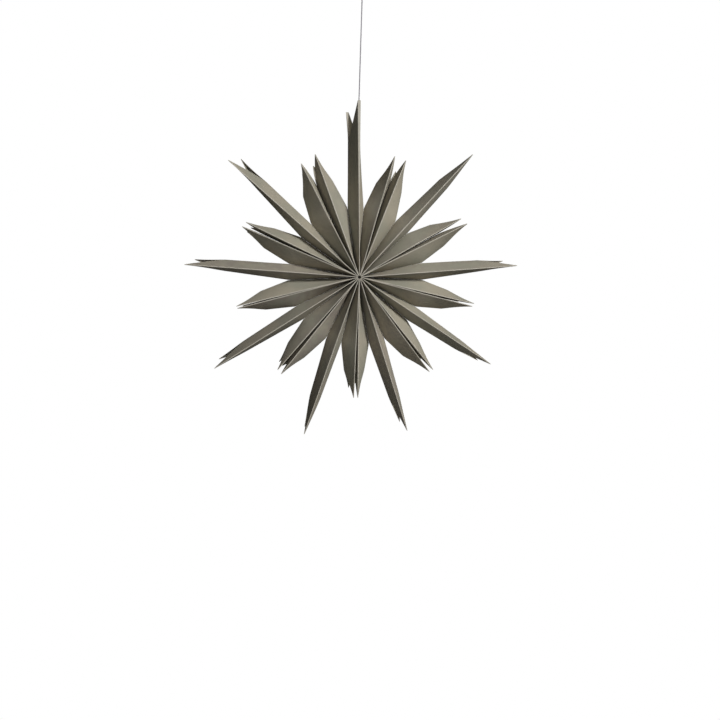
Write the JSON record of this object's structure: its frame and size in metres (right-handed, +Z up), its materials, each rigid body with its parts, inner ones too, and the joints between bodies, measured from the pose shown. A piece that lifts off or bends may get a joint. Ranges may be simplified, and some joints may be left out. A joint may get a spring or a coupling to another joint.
{
  "type": "paper snowflake star",
  "caption": "Hanging paper star: folded paper sleeves glued into a fan, opened all round about a hub, with long and short V-cut points, on a cord with a loop.",
  "frame": {"origin": "inside top of the hanging loop, where a hook bears, on the cord's axis", "axes": "+Z up along the cord, -Y out of the star's front face, +X to the right seen from the front"},
  "size_m": [0.4591, 0.0508, 0.6485],
  "materials": {
    "paper": "matte",
    "cord": "matte",
    "magnet": "satin"
  },
  "bodies": {
    "hanger": {"hanging_loop": "cord", "loop_knot": "cord", "hanging_cord": "cord", "cord_stop_knot": "cord"},
    "long_1": {"long_sleeve_1": "paper"},
    "short_1": {"short_sleeve_1": "paper", "closure_magnets_first": "magnet"},
    "short_2": {"short_sleeve_2": "paper"},
    "short_3": {"short_sleeve_3": "paper"},
    "long_2": {"long_sleeve_2": "paper"},
    "short_4": {"short_sleeve_4": "paper"},
    "short_5": {"short_sleeve_5": "paper"},
    "long_3": {"long_sleeve_3": "paper"},
    "short_6": {"short_sleeve_6": "paper"},
    "short_7": {"short_sleeve_7": "paper"},
    "long_4": {"long_sleeve_4": "paper"},
    "short_8": {"short_sleeve_8": "paper"},
    "short_9": {"short_sleeve_9": "paper"},
    "long_5": {"long_sleeve_5": "paper"},
    "short_10": {"short_sleeve_10": "paper"},
    "short_11": {"short_sleeve_11": "paper"},
    "long_6": {"long_sleeve_6": "paper"},
    "short_12": {"short_sleeve_12": "paper"},
    "short_13": {"short_sleeve_13": "paper"},
    "long_7": {"long_sleeve_7": "paper"},
    "short_14": {"short_sleeve_14": "paper"},
    "short_15": {"short_sleeve_15": "paper"},
    "long_8": {"long_sleeve_8": "paper"},
    "short_16": {"short_sleeve_16": "paper"},
    "short_17": {"short_sleeve_17": "paper"},
    "long_9": {"long_sleeve_9": "paper"},
    "short_18": {"short_sleeve_18": "paper", "closure_magnets_last": "magnet"}
  },
  "joints": [
    {"name": "star_turn", "type": "hinge", "parent": "hanger", "child": "long_1", "pos_m": [0, 0, -0.196], "axis": [0, 0, 1], "continuous": true},
    {"name": "fan_fold", "type": "hinge", "parent": "long_1", "child": "short_18", "pos_m": [0.00804, 0.023, -0.42636], "axis": [0, -1, 0], "range_deg": [0, 309.75], "deforming": ["short_sleeve_1", "long_sleeve_1", "short_sleeve_2", "short_sleeve_3", "long_sleeve_2", "short_sleeve_4", "short_sleeve_5", "long_sleeve_3", "short_sleeve_6", "short_sleeve_7", "long_sleeve_4", "short_sleeve_8", "short_sleeve_9", "long_sleeve_5", "short_sleeve_10", "short_sleeve_11", "long_sleeve_6", "short_sleeve_12", "short_sleeve_13", "long_sleeve_7", "short_sleeve_14", "short_sleeve_15", "long_sleeve_8", "short_sleeve_16", "short_sleeve_17", "long_sleeve_9", "short_sleeve_18"]},
    {"name": "fold_long_9", "type": "hinge", "parent": "long_1", "child": "long_9", "pos_m": [0.00804, 0.023, -0.42636], "axis": [0, -1, 0], "range_deg": [0, 289.41]},
    {"name": "fold_short_17", "type": "hinge", "parent": "long_1", "child": "short_17", "pos_m": [0.00804, 0.023, -0.42636], "axis": [0, -1, 0], "range_deg": [0, 274.56]},
    {"name": "fold_short_16", "type": "hinge", "parent": "long_1", "child": "short_16", "pos_m": [0.00804, 0.023, -0.42636], "axis": [0, -1, 0], "range_deg": [0, 272.96]},
    {"name": "fold_long_8", "type": "hinge", "parent": "long_1", "child": "long_8", "pos_m": [0.00804, 0.023, -0.42636], "axis": [0, -1, 0], "range_deg": [0, 255.11]},
    {"name": "fold_short_15", "type": "hinge", "parent": "long_1", "child": "short_15", "pos_m": [0.00804, 0.023, -0.42636], "axis": [0, -1, 0], "range_deg": [0, 239.01]},
    {"name": "fold_short_14", "type": "hinge", "parent": "long_1", "child": "short_14", "pos_m": [0.00804, 0.023, -0.42636], "axis": [0, -1, 0], "range_deg": [0, 238.91]},
    {"name": "fold_long_7", "type": "hinge", "parent": "long_1", "child": "long_7", "pos_m": [0.00804, 0.023, -0.42636], "axis": [0, -1, 0], "range_deg": [0, 222.31]},
    {"name": "fold_short_13", "type": "hinge", "parent": "long_1", "child": "short_13", "pos_m": [0.00804, 0.023, -0.42636], "axis": [0, -1, 0], "range_deg": [0, 206.96]},
    {"name": "fold_short_12", "type": "hinge", "parent": "long_1", "child": "short_12", "pos_m": [0.00804, 0.023, -0.42636], "axis": [0, -1, 0], "range_deg": [0, 205.36]},
    {"name": "fold_long_6", "type": "hinge", "parent": "long_1", "child": "long_6", "pos_m": [0.00804, 0.023, -0.42636], "axis": [0, -1, 0], "range_deg": [0, 186.51]},
    {"name": "fold_short_11", "type": "hinge", "parent": "long_1", "child": "short_11", "pos_m": [0.00804, 0.023, -0.42636], "axis": [0, -1, 0], "range_deg": [0, 170.41]},
    {"name": "fold_short_10", "type": "hinge", "parent": "long_1", "child": "short_10", "pos_m": [0.00804, 0.023, -0.42636], "axis": [0, -1, 0], "range_deg": [0, 169.31]},
    {"name": "fold_long_5", "type": "hinge", "parent": "long_1", "child": "long_5", "pos_m": [0.00804, 0.023, -0.42636], "axis": [0, -1, 0], "range_deg": [0, 151.71]},
    {"name": "fold_short_9", "type": "hinge", "parent": "long_1", "child": "short_9", "pos_m": [0.00804, 0.023, -0.42636], "axis": [0, -1, 0], "range_deg": [0, 133.11]},
    {"name": "fold_short_8", "type": "hinge", "parent": "long_1", "child": "short_8", "pos_m": [0.00804, 0.023, -0.42636], "axis": [0, -1, 0], "range_deg": [0, 132.01]},
    {"name": "fold_long_4", "type": "hinge", "parent": "long_1", "child": "long_4", "pos_m": [0.00804, 0.023, -0.42636], "axis": [0, -1, 0], "range_deg": [0, 114.91]},
    {"name": "fold_short_7", "type": "hinge", "parent": "long_1", "child": "short_7", "pos_m": [0.00804, 0.023, -0.42636], "axis": [0, -1, 0], "range_deg": [0, 97.06]},
    {"name": "fold_short_6", "type": "hinge", "parent": "long_1", "child": "short_6", "pos_m": [0.00804, 0.023, -0.42636], "axis": [0, -1, 0], "range_deg": [0, 96.46]},
    {"name": "fold_long_3", "type": "hinge", "parent": "long_1", "child": "long_3", "pos_m": [0.00804, 0.023, -0.42636], "axis": [0, -1, 0], "range_deg": [0, 80.61]},
    {"name": "fold_short_5", "type": "hinge", "parent": "long_1", "child": "short_5", "pos_m": [0.00804, 0.023, -0.42636], "axis": [0, -1, 0], "range_deg": [0, 59.76]},
    {"name": "fold_short_4", "type": "hinge", "parent": "long_1", "child": "short_4", "pos_m": [0.00804, 0.023, -0.42636], "axis": [0, -1, 0], "range_deg": [0, 57.16]},
    {"name": "fold_long_2", "type": "hinge", "parent": "long_1", "child": "long_2", "pos_m": [0.00804, 0.023, -0.42636], "axis": [0, -1, 0], "range_deg": [0, 40.81]},
    {"name": "fold_short_3", "type": "hinge", "parent": "long_1", "child": "short_3", "pos_m": [0.00804, 0.023, -0.42636], "axis": [0, -1, 0], "range_deg": [0, 20.46]},
    {"name": "fold_short_2", "type": "hinge", "parent": "long_1", "child": "short_2", "pos_m": [0.00804, 0.023, -0.42636], "axis": [0, -1, 0], "range_deg": [0, 15.86]},
    {"name": "fold_short_1", "type": "hinge", "parent": "long_1", "child": "short_1", "pos_m": [0.00804, 0.023, -0.42636], "axis": [0, -1, 0], "range_deg": [-19.36, 0]}
  ],
  "couplings": [
    {"joint": "fold_long_9", "follows": "fan_fold", "ratio": 0.9343},
    {"joint": "fold_short_17", "follows": "fan_fold", "ratio": 0.88636},
    {"joint": "fold_short_16", "follows": "fan_fold", "ratio": 0.88119},
    {"joint": "fold_long_8", "follows": "fan_fold", "ratio": 0.82357},
    {"joint": "fold_short_15", "follows": "fan_fold", "ratio": 0.77159},
    {"joint": "fold_short_14", "follows": "fan_fold", "ratio": 0.77127},
    {"joint": "fold_long_7", "follows": "fan_fold", "ratio": 0.71768},
    {"joint": "fold_short_13", "follows": "fan_fold", "ratio": 0.66812},
    {"joint": "fold_short_12", "follows": "fan_fold", "ratio": 0.66295},
    {"joint": "fold_long_6", "follows": "fan_fold", "ratio": 0.6021},
    {"joint": "fold_short_11", "follows": "fan_fold", "ratio": 0.55012},
    {"joint": "fold_short_10", "follows": "fan_fold", "ratio": 0.54657},
    {"joint": "fold_long_5", "follows": "fan_fold", "ratio": 0.48975},
    {"joint": "fold_short_9", "follows": "fan_fold", "ratio": 0.4297},
    {"joint": "fold_short_8", "follows": "fan_fold", "ratio": 0.42615},
    {"joint": "fold_long_4", "follows": "fan_fold", "ratio": 0.37094},
    {"joint": "fold_short_7", "follows": "fan_fold", "ratio": 0.31332},
    {"joint": "fold_short_6", "follows": "fan_fold", "ratio": 0.31138},
    {"joint": "fold_long_3", "follows": "fan_fold", "ratio": 0.26021},
    {"joint": "fold_short_5", "follows": "fan_fold", "ratio": 0.1929},
    {"joint": "fold_short_4", "follows": "fan_fold", "ratio": 0.1845},
    {"joint": "fold_long_2", "follows": "fan_fold", "ratio": 0.13172},
    {"joint": "fold_short_3", "follows": "fan_fold", "ratio": 0.06602},
    {"joint": "fold_short_2", "follows": "fan_fold", "ratio": 0.05117},
    {"joint": "fold_short_1", "follows": "fan_fold", "ratio": -0.06247}
  ]
}
